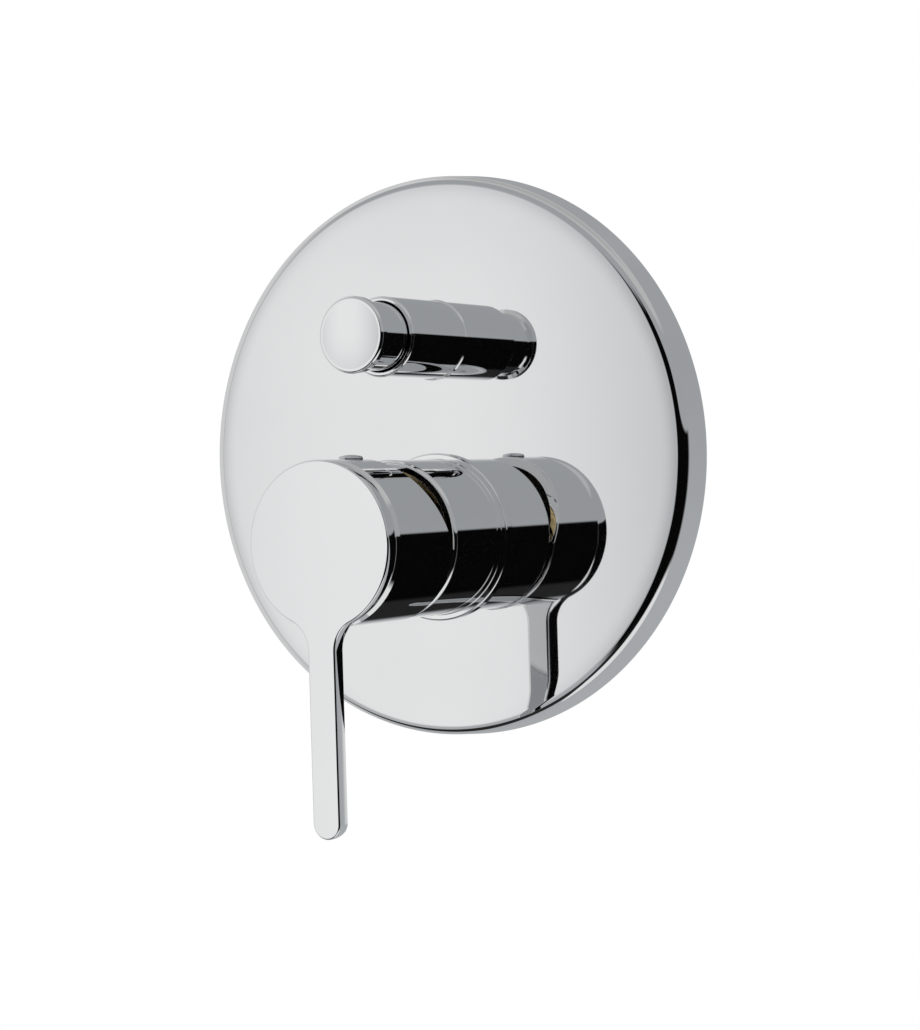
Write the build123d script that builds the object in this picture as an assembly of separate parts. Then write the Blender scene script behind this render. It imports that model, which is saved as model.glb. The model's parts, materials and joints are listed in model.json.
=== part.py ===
import math
import os

from build123d import *

os.makedirs("parts", exist_ok=True)

# Frame: the wall is the XZ plane, the room lies towards -Y and +Z is up.
# The origin is the middle of the four wall screws, on the foot bars' rear face.
# A "stand" is a distance from that face towards the room, along -Y.

# Installation
wall_stand = 48.0
mixer_height = -24.3
diverter_height = 35.0

# Cover plate
plate_radius = 85.0
plate_depth = 11.4
plate_wall = 1.6
plate_edge_round = 2.0
plate_draft = 1.0
plate_stand = wall_stand + plate_depth
gasket_width = 3.2
gasket_depth = 4.0
seal_section = 2.4
collar_wall = 1.5
hole_gap = 0.3

# Mixer sleeve
sleeve_radius = 23.4
sleeve_bore = 20.5
sleeve_reach = 27.0
sleeve_edge_round = 1.2
sleeve_flange_radius = 25.2
sleeve_flange_height = 1.8
sleeve_stand = plate_stand + sleeve_reach

# Mixer handle
handle_radius = 23.8
handle_wall = 3.0
handle_reach = 62.0
handle_stand = plate_stand + handle_reach
lever_thickness = 5.2
lever_width = 9.2
lever_reach = 82.6
lever_blend = 9.0
lever_edge_round = 0.8
cup_edge_bevel = 0.8
cup_roof = 4.0
lift_angle = 24.0
relief_angle = 23.3
relief_gap = 3.0
rear_gap = 1.6
swing_angle = 45.0
boss_radius = 8.0
boss_lead = 8.0
plug_radius = 3.5
plug_proud = 1.25
plug_depth = 2.0
plug_margin = 1.05
plug_dome = 1.0
screw_radius = 2.0
screw_length = 6.0
screw_key = 2.0

# Ceramic cartridge
pivot_stand = plate_stand + 18.0
finger_arm = 13.0
ball_radius = 2.6
finger_radius = 1.8
stem_side = 8.0
stem_fit = 0.05
stem_end_gap = 0.5
pin_radius = 2.0
pin_fit = 0.05
pin_end_gap = 0.4
running_gap = 0.1
slot_gap = 0.15
body_gap = 0.3
housing_radius = 17.5
housing_bore = 15.2
tower_radius = 13.3
tower_bore = 11.0
tower_height = 9.5
housing_roof = 2.8
disc_thickness = 4.0
fixed_disc_thickness = 4.5
moving_disc_radius = 11.0
carrier_depth = 6.6
base_thickness = 6.5
port_seal_thickness = 1.2
inlet_port_radius = 3.4
inlet_port_offset = 8.0
inlet_port_drop = 3.5
mixed_port_radius = 3.8
mixed_port_rise = 7.5
mixing_pocket_depth = 2.2
mixing_pocket_width = 15.0
mixing_pocket_height = 11.6
mixing_pocket_rise = 2.8
turret_flange = 3.6
turret_proud = 1.2
disc_travel = finger_arm * math.sin(math.radians(lift_angle))
disc_offset = disc_travel / 2
ball_stand = pivot_stand - finger_arm
carrier_top = ball_stand + ball_radius
moving_disc_top = carrier_top - carrier_depth
fixed_disc_top = moving_disc_top - disc_thickness
base_top = fixed_disc_top - fixed_disc_thickness
base_bottom = base_top - base_thickness
chamber_floor = base_bottom - port_seal_thickness
turret_bottom = carrier_top + body_gap
housing_ceiling = turret_bottom + turret_flange + running_gap
housing_shoulder = housing_ceiling + housing_roof
tower_top = housing_shoulder + tower_height
nut_height = 7.0
nut_notch = 4.0

# Valve casting
port_stand = 30.0
port_thread_radius = 10.5
port_thread_depth = 14.0
port_boss_radius = 14.5
port_boss_length = 15.0
port_boss_bevel = 1.0
port_bore = 7.0
inlet_tube_radius = 12.0
outlet_tube_radius = 12.8
inlet_reach = 48.0
top_reach = 73.0
bottom_reach = 71.0
barrel_radius = 22.5
barrel_rear = 11.0
barrel_stand = 52.0
neck_radius = sleeve_bore - stem_fit
neck_stand = housing_shoulder + nut_height
mixed_bore = 4.5
bath_bore = 5.0
bath_stand = 17.5
shower_bore = 4.5
shower_stand = 41.0
passage_wall = 3.2
foot_spacing_x = 64.0
foot_spacing_z = 84.0
foot_thickness = 5.0
foot_height = 13.0
foot_hole_radius = 2.6
foot_pillar_width = 18.0

# Diverter
diverter_travel = 8.0
diverter_barrel_radius = 15.0
diverter_rear = 3.0
chamber_rear = 7.0
chamber_radius = 11.0
cage_bore = 9.0
cage_stand = 46.0
seat_bore = 5.5
seat_thickness = 2.0
rear_seat_stand = 22.0
front_seat_stand = 34.0
washer_radius = 7.2
washer_thickness = 3.0
washer_hub_radius = 2.0
back_disc_radius = 6.4
back_disc_thickness = 1.8
bonnet_mouth = 8.0
bonnet_mouth_depth = 3.0
spindle_radius = 2.5
spindle_fit = 0.05
spindle_nut_height = 2.6
spindle_nut_width = 7.0
bonnet_flange_radius = 10.35
bonnet_flange_stand = 58.0
bonnet_neck_radius = 7.6
spring_bore = 5.4
spring_wire = 0.9
spring_radius = 4.2
spring_turns = 6.0
spring_collar_radius = 4.9
spring_collar_stand = 52.0
bonnet_roof = 70.0
bonnet_stand = 75.0
spindle_seal_depth = 2.4
spindle_seal_radius = 4.7
diverter_sleeve_radius = 11.75
diverter_sleeve_bore = 10.4
diverter_sleeve_reach = 28.4
diverter_sleeve_round = 0.7
diverter_lip_radius = 11.95
diverter_lip_height = 0.5
diverter_sleeve_stand = plate_stand + diverter_sleeve_reach
knob_radius = 11.1
knob_neck_radius = 10.0
knob_wall = 1.6
knob_reach = 43.2
knob_lip = 2.6
knob_edge_round = 0.8
knob_dish = 0.3
knob_dish_radius = 9.8
knob_skirt_stand = 77.5
knob_hub_radius = 5.0
knob_hub_stand = 82.0
knob_stand = plate_stand + knob_reach
spindle_stand = knob_stand - 5.0


def axis_at(height):
    """The line towards the room at a height above the origin."""
    return Axis((0, 0, height), (0, -1, 0))


def turned(height, outline):
    """A solid of revolution from (radius, stand) points."""
    half_plane = Plane(origin=(0, 0, height), x_dir=(1, 0, 0), z_dir=(0, 0, -1))
    section = half_plane * make_face(Polyline(*outline, close=True))
    return revolve(section, axis_at(height))


def ring(height, inner, outer, low, high):
    """A plain ring between two radii and two stands."""
    return turned(height, [(inner, low), (outer, low), (outer, high), (inner, high)])


def rod(height, radius, low, high, across=0.0):
    """A plain cylinder towards the room."""
    base = Plane(origin=(across, -low, height), x_dir=(1, 0, 0), z_dir=(0, -1, 0))
    return extrude(base * Circle(radius), high - low)


def rim(solid, radius, stand):
    """The circular edges of one radius at one stand."""
    circles = solid.edges().filter_by(GeomType.CIRCLE)
    return [e for e in circles if abs(e.radius - radius) < 0.01 and abs(e.arc_center.Y + stand) < 0.01]


def block(wide, low, high, bottom, top, across=0.0):
    """A box given by its width, its stands and its heights."""
    middle = (across, -(low + high) / 2, (bottom + top) / 2)
    return Pos(*middle) * Box(wide, high - low, top - bottom)


def upright(radius, stand, bottom, top, across=0.0):
    """A vertical cylinder."""
    return Pos(across, -stand, (bottom + top) / 2) * Cylinder(radius, top - bottom)


def sideways(radius, stand, height, left, right):
    """A cylinder along X."""
    turn = Rot(0, 90, 0)
    return Pos((left + right) / 2, -stand, height) * turn * Cylinder(radius, right - left)


def save(shape, node):
    export_step(shape, "parts/" + node + ".step")


# Cover plate: a shallow drawn dish, a flat face and a slightly drafted rim
rim_front = plate_radius - plate_draft
inner_rim = plate_radius - plate_wall - plate_draft
face_back = plate_stand - plate_wall
plate_outline = [
    (0, plate_stand),
    (rim_front, plate_stand),
    (plate_radius, wall_stand),
    (inner_rim, wall_stand),
    (inner_rim, face_back),
    (0, face_back),
]
cover_plate = turned(0, plate_outline)
cover_plate = fillet(rim(cover_plate, rim_front, plate_stand), plate_edge_round)
mixer_hole = sleeve_radius + hole_gap
mixer_collar = mixer_hole + seal_section + collar_wall
collar_back = face_back - seal_section - plate_wall
diverter_hole = diverter_sleeve_radius + hole_gap
diverter_collar = diverter_hole + seal_section + collar_wall
cover_plate += rod(mixer_height, mixer_collar, collar_back, face_back)
cover_plate += rod(diverter_height, diverter_collar, collar_back, face_back)
cover_plate -= rod(mixer_height, mixer_hole, collar_back, plate_stand)
cover_plate -= rod(mixer_height, mixer_hole + seal_section - hole_gap, collar_back, face_back)
cover_plate -= rod(diverter_height, diverter_hole, collar_back, plate_stand)
cover_plate -= rod(diverter_height, diverter_hole + seal_section - hole_gap, collar_back, face_back)

# Rubber rings that seal the plate on its two sleeves
seal_low = face_back - seal_section
sleeve_seal = ring(mixer_height, sleeve_radius, sleeve_radius + seal_section, seal_low, face_back)
lip_seal_outer = diverter_sleeve_radius + seal_section
diverter_ring = ring(diverter_height, diverter_sleeve_radius, lip_seal_outer, seal_low, face_back)

# Foam ring inside the rim
plate_gasket = ring(0, inner_rim - gasket_width, inner_rim, wall_stand, wall_stand + gasket_depth)

# Mixer sleeve with the flange that holds the plate
flange_top = plate_stand + sleeve_flange_height
sleeve_outline = [
    (sleeve_bore, barrel_stand),
    (sleeve_radius, barrel_stand),
    (sleeve_radius, plate_stand),
    (sleeve_flange_radius, plate_stand),
    (sleeve_flange_radius, flange_top),
    (sleeve_radius, flange_top),
    (sleeve_radius, sleeve_stand),
    (sleeve_bore, sleeve_stand),
]
mixer_sleeve = turned(mixer_height, sleeve_outline)
mixer_sleeve = fillet(rim(mixer_sleeve, sleeve_radius, sleeve_stand), sleeve_edge_round)
mixer_sleeve = fillet(rim(mixer_sleeve, sleeve_flange_radius, flange_top), 0.5)

# Valve casting: barrels, port tubes, waterway ribs and foot bars
valve_body = rod(mixer_height, barrel_radius, barrel_rear, barrel_stand)
valve_body += rod(mixer_height, neck_radius, barrel_stand, neck_stand)
valve_body += sideways(inlet_tube_radius, port_stand, mixer_height, -inlet_reach, inlet_reach)
valve_body += upright(outlet_tube_radius, port_stand, -bottom_reach, top_reach)
valve_body += rod(diverter_height, diverter_barrel_radius, diverter_rear, barrel_stand)
boss_start = inlet_reach - port_boss_length
valve_body += sideways(port_boss_radius, port_stand, mixer_height, boss_start, inlet_reach)
valve_body += sideways(port_boss_radius, port_stand, mixer_height, -inlet_reach, -boss_start)
valve_body += upright(port_boss_radius, port_stand, top_reach - port_boss_length, top_reach)
valve_body += upright(port_boss_radius, port_stand, -bottom_reach, port_boss_length - bottom_reach)
valve_body += upright(bath_bore + passage_wall, bath_stand, 6 - bottom_reach, diverter_height + 4)
valve_body += upright(shower_bore + passage_wall, shower_stand, diverter_height - 4, top_reach - 6)
foot_length = foot_spacing_x + foot_height
for side in (1, -1):
    level = side * foot_spacing_z / 2
    bar = SlotOverall(foot_length, foot_height)
    bar_plane = Plane(origin=(0, 0, level), x_dir=(1, 0, 0), z_dir=(0, -1, 0))
    valve_body += extrude(bar_plane * bar, foot_thickness)
    pillar_bottom = level - foot_height / 2
    pillar_top = level + foot_height / 2
    valve_body += block(foot_pillar_width, 0, port_stand, pillar_bottom, pillar_top)
    valve_body -= rod(level, foot_hole_radius, 0, foot_thickness, foot_spacing_x / 2)
    valve_body -= rod(level, foot_hole_radius, 0, foot_thickness, -foot_spacing_x / 2)

# Cartridge chamber and its three waterways, and the diverter's chamber
inlet_level = mixer_height - inlet_port_drop
mixed_level = mixer_height + mixed_port_rise
valve_body -= rod(mixer_height, housing_radius, chamber_floor, neck_stand)
valve_body -= rod(diverter_height, chamber_radius, chamber_rear, barrel_stand)
chamber_under = diverter_height - chamber_radius / 2
chamber_over = diverter_height + chamber_radius / 2
for side in (1, -1):
    mouth = side * inlet_reach
    thread_end = side * (inlet_reach - port_thread_depth)
    bore_end = side * inlet_port_offset
    thread_span = sorted((mouth, thread_end))
    bore_span = sorted((thread_end, bore_end))
    valve_body -= sideways(port_thread_radius, port_stand, mixer_height, *thread_span)
    valve_body -= sideways(port_bore, port_stand, mixer_height, *bore_span)
    valve_body -= rod(inlet_level, inlet_port_radius, port_stand, chamber_floor, bore_end)
valve_body -= rod(mixed_level, mixed_port_radius, port_stand, chamber_floor)
valve_body -= upright(mixed_bore, port_stand, mixed_level - 2, chamber_under)

# Outlets: shower above, bath below
valve_body -= upright(port_thread_radius, port_stand, top_reach - port_thread_depth, top_reach)
valve_body -= upright(port_thread_radius, port_stand, -bottom_reach, port_thread_depth - bottom_reach)
valve_body -= upright(bath_bore, bath_stand, 10 - bottom_reach, chamber_under)
valve_body -= upright(shower_bore, shower_stand, chamber_over, top_reach - 10)
valve_body -= rod(port_thread_depth - bottom_reach, bath_bore - 0.6, bath_stand, port_stand)
valve_body -= rod(top_reach - port_thread_depth, shower_bore - 0.6, port_stand, shower_stand)

# Bevelled outer edges of the four port bosses
mouth_edges = valve_body.edges().filter_by(GeomType.CIRCLE)
mouth_edges = [e for e in mouth_edges if abs(e.radius - port_boss_radius) < 0.01]
side_edges = [e for e in mouth_edges if abs(abs(e.arc_center.X) - inlet_reach) < 0.01]
top_edges = [e for e in mouth_edges if abs(e.arc_center.Z - top_reach) < 0.01]
bottom_edges = [e for e in mouth_edges if abs(e.arc_center.Z + bottom_reach) < 0.01]
valve_body = chamfer(side_edges + top_edges + bottom_edges, port_boss_bevel)

# Cartridge: seal, base, fixed disc and housing, with one port pattern through all of them
port_seal = rod(mixer_height, housing_radius - body_gap, chamber_floor, base_bottom)
cartridge_base = rod(mixer_height, housing_radius - running_gap, base_bottom, base_top)
fixed_disc = rod(mixer_height, housing_bore - running_gap, base_top, fixed_disc_top)
ports = rod(mixed_level, mixed_port_radius, chamber_floor, fixed_disc_top)
ports += rod(inlet_level, inlet_port_radius, chamber_floor, fixed_disc_top, inlet_port_offset)
ports += rod(inlet_level, inlet_port_radius, chamber_floor, fixed_disc_top, -inlet_port_offset)
port_seal -= ports
cartridge_base -= ports
fixed_disc -= ports

housing_outline = [
    (housing_bore, base_top),
    (housing_radius - running_gap, base_top),
    (housing_radius - running_gap, housing_shoulder),
    (tower_radius, housing_shoulder),
    (tower_radius, tower_top),
    (tower_bore, tower_top),
    (tower_bore, housing_ceiling),
    (housing_bore, housing_ceiling),
]
cartridge_housing = turned(mixer_height, housing_outline)

# Nut in the neck, with notches for its key
nut_outer = housing_radius - stem_fit
nut_inner = tower_radius + body_gap
cartridge_nut = ring(mixer_height, nut_inner, nut_outer, housing_shoulder, neck_stand + 1.0)
for turn in range(6):
    notch = block(nut_notch, neck_stand - 2.0, neck_stand + 1.0, nut_inner - 1, nut_outer + 1)
    cartridge_nut -= Pos(0, 0, mixer_height) * Rot(0, 60 * turn, 0) * notch

# Moving disc with its mixing pocket, and the carrier the ball end drives
disc_level = mixer_height + disc_offset
moving_disc = rod(disc_level, moving_disc_radius, fixed_disc_top, moving_disc_top)
pocket_level = disc_level + mixing_pocket_rise
pocket_plane = Plane(origin=(0, -fixed_disc_top, pocket_level), x_dir=(1, 0, 0), z_dir=(0, -1, 0))
pocket = SlotOverall(mixing_pocket_width, mixing_pocket_height)
moving_disc -= extrude(pocket_plane * pocket, mixing_pocket_depth)
disc_carrier = rod(disc_level, moving_disc_radius + 0.5, moving_disc_top, carrier_top)
slot_half = ball_radius + slot_gap
slot_floor = ball_stand - ball_radius - slot_gap
slot_low = mixer_height - slot_half
slot_high = mixer_height + slot_half
disc_carrier -= block(2 * slot_half, slot_floor, carrier_top, slot_low, slot_high)

# Turret: a flange under the housing's roof and a slotted tower with the pivot pin
turret_radius = tower_bore - running_gap
turret_top = tower_top + turret_proud
flange_outer = housing_bore - body_gap
flange_roof = turret_bottom + turret_flange
turret_outline = [
    (0, turret_bottom),
    (flange_outer, turret_bottom),
    (flange_outer, flange_roof),
    (turret_radius, flange_roof),
    (turret_radius, turret_top),
    (0, turret_top),
]
cartridge_turret = turned(mixer_height, turret_outline)
slot_reach = turret_radius - collar_wall
slot_bottom = mixer_height - slot_reach
slot_top = mixer_height + slot_reach
stem_slot = block(stem_side + 2 * slot_gap, turret_bottom, turret_top, slot_bottom, slot_top)
cartridge_turret -= stem_slot
pin_half = turret_radius - pin_end_gap
cartridge_turret -= sideways(pin_radius, pivot_stand, mixer_height, -pin_half, pin_half)
pivot_pin = sideways(pin_radius, pivot_stand, mixer_height, -pin_half, pin_half)

# Lever stem: square outside, a finger with a ball end inside
stem_top = handle_stand - lever_thickness - cup_roof - stem_end_gap
stem_foot = pivot_stand - stem_side / 2
half_side = stem_side / 2
lever_stem = block(stem_side, stem_foot, stem_top, mixer_height - half_side, mixer_height + half_side)
lever_stem += rod(mixer_height, finger_radius, ball_stand, stem_foot)
lever_stem += Pos(0, -ball_stand, mixer_height) * Sphere(ball_radius)
lever_stem -= sideways(pin_radius + pin_fit, pivot_stand, mixer_height, -stem_side, stem_side)

# Handle: a disc with its lever as one outline, a cup behind it and a boss for the stem
face_plane = Plane(origin=(0, -handle_stand, mixer_height), x_dir=(1, 0, 0), z_dir=(0, -1, 0))
lever_centre = -(lever_reach - lever_width / 2) / 2
lever_length = lever_reach - lever_width / 2
front_shape = Circle(handle_radius)
front_shape += Pos(0, lever_centre) * Rectangle(lever_width, lever_length)
root_drop = -math.sqrt(handle_radius**2 - (lever_width / 2) ** 2)
roots = [v for v in front_shape.vertices() if abs(v.Y - root_drop) < 0.01]
front_shape = fillet(roots, lever_blend)
front_shape += Pos(0, -lever_length) * Circle(lever_width / 2)
lever_plate = extrude(face_plane * front_shape, -lever_thickness)
front_edges = lever_plate.faces().sort_by(Axis.Y)[0].edges()
lever_plate = fillet(front_edges, lever_edge_round)
rear_edges = lever_plate.faces().sort_by(Axis.Y)[-1].edges()
lever_plate = fillet(rear_edges, lever_edge_round)

cup_front = handle_stand - lever_thickness
cup_rear = sleeve_stand + rear_gap
cup = rod(mixer_height, handle_radius, cup_rear, cup_front)
cup = chamfer(rim(cup, handle_radius, cup_front), cup_edge_bevel)
cup_floor = cup_front - cup_roof
cup -= rod(mixer_height, handle_radius - handle_wall, cup_rear, cup_floor)
relief_slope = math.tan(math.radians(relief_angle))
relief_stand = sleeve_stand + relief_gap
relief_low = (cup_rear - relief_stand) / relief_slope
relief_high = handle_radius + 2
relief_top = relief_stand + relief_slope * relief_high
relief_corners = [(cup_rear, relief_low), (relief_top, relief_high), (cup_rear, relief_high)]
relief_plane = Plane(origin=(0, 0, mixer_height), x_dir=(0, -1, 0), z_dir=(-1, 0, 0))
relief_face = relief_plane * make_face(Polyline(*relief_corners, close=True))
cup -= extrude(relief_face, handle_radius + 2, both=True)
plug_stand = relief_stand + relief_slope * handle_radius + plug_radius + plug_margin
boss = rod(mixer_height, boss_radius, plug_stand - boss_lead, cup_floor)
socket_half = stem_side / 2 + stem_fit
socket_low = mixer_height - socket_half
socket_high = mixer_height + socket_half
mixer_handle = lever_plate + cup + boss
mixer_handle -= block(2 * socket_half, cup_rear, stem_top + stem_end_gap, socket_low, socket_high)

# Plug hole and screw hole on top of the handle
plug_floor = mixer_height + handle_radius - plug_depth
plug_roof = mixer_height + handle_radius + plug_proud
mixer_handle -= upright(plug_radius, plug_stand, plug_floor, plug_roof)
mixer_handle -= upright(screw_radius, plug_stand, mixer_height, plug_roof)
index_plug = upright(plug_radius, plug_stand, plug_floor, plug_roof)
index_plug = fillet(index_plug.edges().group_by(Axis.Z)[-1], plug_dome)
screw_low = mixer_height + half_side
handle_screw = upright(screw_radius, plug_stand, screw_low, screw_low + screw_length)
key_plane = Plane(origin=(0, -plug_stand, screw_low + screw_length), z_dir=(0, 0, 1))
key_socket = RegularPolygon(screw_key / 2, 6, major_radius=False)
handle_screw -= extrude(key_plane * key_socket, -screw_key)

# Diverter cage: a tube with two seats and windows for the three waterways
cage_outer = chamber_radius - stem_fit
diverter_cage = ring(diverter_height, cage_bore, cage_outer, chamber_rear, cage_stand)
rear_seat_top = rear_seat_stand + seat_thickness
front_seat_low = front_seat_stand - seat_thickness
diverter_cage += ring(diverter_height, seat_bore, cage_bore, rear_seat_stand, rear_seat_top)
diverter_cage += ring(diverter_height, seat_bore, cage_bore, front_seat_low, front_seat_stand)
window_low = diverter_height - chamber_radius
window_high = diverter_height + chamber_radius
window_stand = (rear_seat_top + front_seat_low) / 2
diverter_cage -= upright(bath_bore - 1, bath_stand, window_low, diverter_height)
diverter_cage -= upright(mixed_bore - 1, window_stand, window_low, diverter_height)
diverter_cage -= upright(shower_bore, shower_stand - 1, diverter_height, window_high)
groove_depth = (cage_outer - cage_bore) / 2
groove_inner = cage_outer - groove_depth
rear_groove = rear_seat_stand + 0.3
front_groove = front_seat_low + 0.3
groove_width = seat_thickness - 0.6
diverter_cage -= ring(diverter_height, groove_inner, cage_outer, rear_groove, rear_groove + groove_width)
diverter_cage -= ring(diverter_height, groove_inner, cage_outer, front_groove, front_groove + groove_width)
rear_ring = ring(diverter_height, groove_inner, chamber_radius, rear_groove, rear_groove + groove_width)
front_ring = ring(diverter_height, groove_inner, chamber_radius, front_groove, front_groove + groove_width)
cage_seals = Compound(children=[rear_ring, front_ring])

# Bonnet: thread in the casting, flange for the sleeve, neck round the spring
mouth_end = cage_stand + bonnet_mouth_depth
bonnet_outline = [
    (spring_bore, mouth_end),
    (bonnet_mouth, mouth_end),
    (bonnet_mouth, cage_stand),
    (chamber_radius - stem_fit, cage_stand),
    (chamber_radius - stem_fit, barrel_stand),
    (bonnet_flange_radius, barrel_stand),
    (bonnet_flange_radius, bonnet_flange_stand),
    (bonnet_neck_radius, bonnet_flange_stand),
    (bonnet_neck_radius, bonnet_stand),
    (spindle_radius + spindle_fit, bonnet_stand),
    (spindle_radius + spindle_fit, bonnet_roof),
    (spring_bore, bonnet_roof),
]
diverter_bonnet = turned(diverter_height, bonnet_outline)
seal_stand = bonnet_roof + 1.2
seal_end = seal_stand + spindle_seal_depth
spindle_hole = spindle_radius + spindle_fit
diverter_bonnet -= ring(diverter_height, spindle_hole, spindle_seal_radius, seal_stand, seal_end)
spindle_seal = ring(diverter_height, spindle_hole, spindle_seal_radius, seal_stand, seal_end)

# Diverter sleeve with its small lip on the plate
lip_top = plate_stand + diverter_lip_height
diverter_sleeve_outline = [
    (diverter_sleeve_bore, barrel_stand),
    (diverter_sleeve_radius, barrel_stand),
    (diverter_sleeve_radius, plate_stand),
    (diverter_lip_radius + hole_gap, plate_stand),
    (diverter_lip_radius, lip_top),
    (diverter_sleeve_radius, lip_top),
    (diverter_sleeve_radius, diverter_sleeve_stand),
    (diverter_sleeve_bore, diverter_sleeve_stand),
]
diverter_sleeve = turned(diverter_height, diverter_sleeve_outline)
sleeve_front = rim(diverter_sleeve, diverter_sleeve_radius, diverter_sleeve_stand)
diverter_sleeve = fillet(sleeve_front, diverter_sleeve_round)

# Knob: dished face, gripping lip, hollow neck and a hub on the spindle
knob_outline = [
    (0, knob_stand),
    (knob_radius, knob_stand),
    (knob_radius, knob_stand - knob_lip),
    (knob_neck_radius, knob_stand - knob_lip - 0.6),
    (knob_neck_radius, knob_skirt_stand),
    (knob_neck_radius - knob_wall, knob_skirt_stand),
    (knob_neck_radius - knob_wall, knob_stand - knob_lip - 1),
    (knob_hub_radius, knob_stand - knob_lip - 1),
    (knob_hub_radius, knob_hub_stand),
    (spindle_radius, knob_hub_stand),
    (spindle_radius, spindle_stand),
    (0, spindle_stand),
]
diverter_knob = turned(diverter_height, knob_outline)
diverter_knob = fillet(rim(diverter_knob, knob_radius, knob_stand), knob_edge_round)
dish_sphere = (knob_dish_radius**2 + knob_dish**2) / (2 * knob_dish)
dish_stand = knob_stand - knob_dish + dish_sphere
diverter_knob -= Pos(0, -dish_stand, diverter_height) * Sphere(dish_sphere)

# Spindle with a backing disc for each washer and a collar for the spring
bath_washer_top = rear_seat_stand - diverter_travel
bath_washer_low = bath_washer_top - washer_thickness
bath_disc_low = bath_washer_top
nut_low = bath_washer_low - spindle_nut_height
shower_washer_top = front_seat_stand + washer_thickness
shower_disc_top = shower_washer_top + back_disc_thickness
collar_low = spring_collar_stand - 1.6
spindle_outline = [
    (0, nut_low),
    (washer_hub_radius, nut_low),
    (washer_hub_radius, bath_washer_top),
    (spindle_radius, bath_washer_top),
    (spindle_radius, shower_washer_top),
    (back_disc_radius, shower_washer_top),
    (back_disc_radius, shower_disc_top),
    (spindle_radius, shower_disc_top),
    (spindle_radius, collar_low),
    (spring_collar_radius, collar_low),
    (spring_collar_radius, spring_collar_stand),
    (spindle_radius, spring_collar_stand),
    (spindle_radius, spindle_stand),
    (0, spindle_stand),
]
diverter_spindle = turned(diverter_height, spindle_outline)
shower_washer = ring(diverter_height, spindle_radius, washer_radius, front_seat_stand, shower_washer_top)
bath_washer = ring(diverter_height, washer_hub_radius, washer_radius, bath_washer_low, bath_washer_top)
nut_plane = Plane(origin=(0, -nut_low, diverter_height), x_dir=(1, 0, 0), z_dir=(0, -1, 0))
nut_shape = RegularPolygon(spindle_nut_width / 2, 6, major_radius=False) - Circle(washer_hub_radius)
spindle_nut = extrude(nut_plane * nut_shape, spindle_nut_height)

# Return spring between the spindle's collar and the bonnet's roof
spring_length = bonnet_roof - spring_collar_stand - spring_wire
spring_pitch = spring_length / spring_turns
coil = Helix(spring_pitch, spring_length, spring_radius)
wire_plane = Plane(origin=coil @ 0, z_dir=coil % 0)
wire = sweep(wire_plane * Circle(spring_wire / 2), coil, is_frenet=True)
spring_foot = spring_collar_stand + spring_wire / 2
diverter_spring = Pos(0, -spring_foot, diverter_height) * Rot(90, 0, 0) * wire

# Hand-in of every piece
save(valve_body, "valve_body")
save(cover_plate, "cover_plate")
save(plate_gasket, "plate_gasket")
save(sleeve_seal, "sleeve_seal")
save(mixer_sleeve, "mixer_sleeve")
save(port_seal, "port_seal")
save(cartridge_base, "cartridge_base")
save(fixed_disc, "fixed_disc")
save(cartridge_housing, "cartridge_housing")
save(cartridge_nut, "cartridge_nut")
save(diverter_cage, "diverter_cage")
save(cage_seals, "cage_seals")
save(diverter_bonnet, "diverter_bonnet")
save(spindle_seal, "spindle_seal")
save(diverter_sleeve, "diverter_sleeve")
save(diverter_ring, "diverter_ring")
save(cartridge_turret, "cartridge_turret")
save(pivot_pin, "pivot_pin")
save(lever_stem, "lever_stem")
save(mixer_handle, "mixer_handle")
save(index_plug, "index_plug")
save(handle_screw, "handle_screw")
save(disc_carrier, "disc_carrier")
save(moving_disc, "moving_disc")
save(diverter_knob, "diverter_knob")
save(diverter_spindle, "diverter_spindle")
save(shower_washer, "shower_washer")
save(bath_washer, "bath_washer")
save(spindle_nut, "spindle_nut")
save(diverter_spring, "diverter_spring")
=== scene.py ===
"""Concealed shower mixer: smooth mirror pieces, finishes, threads and spring, studio light and camera."""

import json
import math

import bmesh
import bpy
from mathutils import Matrix, Vector


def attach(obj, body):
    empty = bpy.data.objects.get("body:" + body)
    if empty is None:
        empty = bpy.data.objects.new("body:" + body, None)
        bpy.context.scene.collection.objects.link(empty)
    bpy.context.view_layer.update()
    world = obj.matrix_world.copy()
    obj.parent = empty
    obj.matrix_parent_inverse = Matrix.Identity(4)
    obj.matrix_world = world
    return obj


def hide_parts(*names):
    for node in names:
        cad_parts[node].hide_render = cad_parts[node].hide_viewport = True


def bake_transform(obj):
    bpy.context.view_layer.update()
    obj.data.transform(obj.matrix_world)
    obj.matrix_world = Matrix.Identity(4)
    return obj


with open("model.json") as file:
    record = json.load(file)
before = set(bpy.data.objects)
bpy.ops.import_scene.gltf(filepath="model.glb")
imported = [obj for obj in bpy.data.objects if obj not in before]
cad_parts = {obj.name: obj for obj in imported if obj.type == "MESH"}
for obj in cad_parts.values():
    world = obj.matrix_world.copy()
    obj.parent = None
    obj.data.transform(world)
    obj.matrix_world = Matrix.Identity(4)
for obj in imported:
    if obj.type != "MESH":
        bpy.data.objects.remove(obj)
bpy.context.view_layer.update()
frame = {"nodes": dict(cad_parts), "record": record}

MM = 0.001

# Sizes in millimetres; a stand is the distance from the fixing plane towards the room
wall_stand = 48.0
barrel_stand = 52.0
mixer_height = -24.3
diverter_height = 35.0

# Cover plate
plate_radius = 85.0
plate_stand = 59.4
plate_wall = 1.6
plate_edge_round = 2.0
plate_draft = 1.0
plate_rear_round = 0.4
plate_flat_radius = 75.5
plate_bend_radius = 80.6
plate_bend = 0.045
plate_shoulder_radius = 81.5
plate_shoulder_drop = 0.36
plate_shoulder_round = 6.0
plate_back = plate_stand - plate_wall
plate_inner_radius = plate_radius - plate_wall - plate_draft
seal_section = 2.4
collar_wall = 1.5
hole_gap = 0.3

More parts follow.
